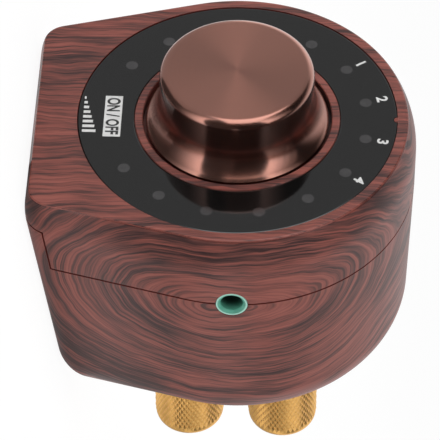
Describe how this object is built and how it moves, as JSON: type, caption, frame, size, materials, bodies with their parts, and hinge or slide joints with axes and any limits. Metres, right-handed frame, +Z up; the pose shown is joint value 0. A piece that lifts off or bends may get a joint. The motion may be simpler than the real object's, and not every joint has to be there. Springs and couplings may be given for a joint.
{
  "type": "stereo amplifier",
  "caption": "Small desktop stereo amplifier: a wood-grain split case that leans back on a flat base, a turn-and-press volume knob in a round dial panel and screw speaker terminals.",
  "frame": {"origin": "middle of the flat base, on the ground", "axes": "+Z up, the face with the knob looks towards -Y and leans back, +X to the right seen from the front"},
  "size_m": [0.0592, 0.0731, 0.0629],
  "materials": {
    "casing": "satin wood grain print",
    "panel": "gloss black",
    "tape": "matte",
    "clear": "clear",
    "lamp": "gloss",
    "board": "solder mask",
    "black_plastic": "matte",
    "pad": "matte",
    "bare_aluminium": "bare",
    "copper_aluminium": "spun anodised",
    "ferrite": "matte",
    "can": "sleeved",
    "radio": "solder mask",
    "steel": "plated",
    "white_plastic": "matte",
    "teal_plastic": "gloss",
    "gilt_brass": "gold plated",
    "red_plastic": "gloss"
  },
  "bodies": {
    "case": {"front_cover": "casing", "rear_cover": "casing", "dial_panel": "panel", "panel_adhesive": "tape", "light_guides": "clear", "indicator_lamps": "lamp", "circuit_board": "board", "amplifier_chip": "black_plastic", "heat_pad": "pad", "heatsink": "bare_aluminium", "filter_coils": "ferrite", "capacitors": "can", "radio_module": "radio", "encoder_bushing": "steel", "encoder_base": "black_plastic", "switch_dome": "steel", "audio_socket": "teal_plastic", "power_socket": "black_plastic", "power_pin": "steel", "data_socket": "steel", "data_tongue": "black_plastic", "terminal_studs": "gilt_brass", "red_insulators": "red_plastic", "black_insulators": "black_plastic", "inner_insulators": "black_plastic", "terminal_nuts": "gilt_brass", "solder_tags": "gilt_brass", "case_screws": "steel"},
    "rotor": {"encoder_rotor": "white_plastic"},
    "knob": {"knob": "copper_aluminium", "knob_core": "black_plastic", "encoder_shaft": "steel"},
    "left_red_washer": {"left_red_washer": "gilt_brass"},
    "left_red_cap": {"left_red_cap": "gilt_brass"},
    "left_black_washer": {"left_black_washer": "gilt_brass"},
    "left_black_cap": {"left_black_cap": "gilt_brass"},
    "right_red_washer": {"right_red_washer": "gilt_brass"},
    "right_red_cap": {"right_red_cap": "gilt_brass"},
    "right_black_washer": {"right_black_washer": "gilt_brass"},
    "right_black_cap": {"right_black_cap": "gilt_brass"}
  },
  "joints": [
    {"name": "volume_turn", "type": "hinge", "parent": "case", "child": "rotor", "pos_m": [0, -0.01646, 0.0343], "axis": [0, -0.9914, 0.1305], "continuous": true},
    {"name": "power_press", "type": "slide", "parent": "rotor", "child": "knob", "axis": [0, 0.9914, -0.1305], "range_m": [0, 0.0005], "stiffness_N_per_m": 4000},
    {"name": "left_red_lift", "type": "slide", "parent": "case", "child": "left_red_washer", "axis": [0, 0.9914, -0.1305], "range_m": [0, 0.0021]},
    {"name": "left_red_turn", "type": "hinge", "parent": "left_red_washer", "child": "left_red_cap", "pos_m": [-0.013, 0.03575, 0.0356], "axis": [0, 0.9914, -0.1305], "range_deg": [0, 1080]},
    {"name": "left_black_lift", "type": "slide", "parent": "case", "child": "left_black_washer", "axis": [0, 0.9914, -0.1305], "range_m": [0, 0.0021]},
    {"name": "left_black_turn", "type": "hinge", "parent": "left_black_washer", "child": "left_black_cap", "pos_m": [-0.013, 0.03364, 0.01954], "axis": [0, 0.9914, -0.1305], "range_deg": [0, 1080]},
    {"name": "right_red_lift", "type": "slide", "parent": "case", "child": "right_red_washer", "axis": [0, 0.9914, -0.1305], "range_m": [0, 0.0021]},
    {"name": "right_red_turn", "type": "hinge", "parent": "right_red_washer", "child": "right_red_cap", "pos_m": [0.013, 0.03575, 0.0356], "axis": [0, 0.9914, -0.1305], "range_deg": [0, 1080]},
    {"name": "right_black_lift", "type": "slide", "parent": "case", "child": "right_black_washer", "axis": [0, 0.9914, -0.1305], "range_m": [0, 0.0021]},
    {"name": "right_black_turn", "type": "hinge", "parent": "right_black_washer", "child": "right_black_cap", "pos_m": [0.013, 0.03364, 0.01954], "axis": [0, 0.9914, -0.1305], "range_deg": [0, 1080]}
  ],
  "couplings": [
    {"joint": "left_red_turn", "follows": "left_red_lift", "rad_per_m": 8976},
    {"joint": "left_black_turn", "follows": "left_black_lift", "rad_per_m": 8976},
    {"joint": "right_red_turn", "follows": "right_red_lift", "rad_per_m": 8976},
    {"joint": "right_black_turn", "follows": "right_black_lift", "rad_per_m": 8976}
  ]
}
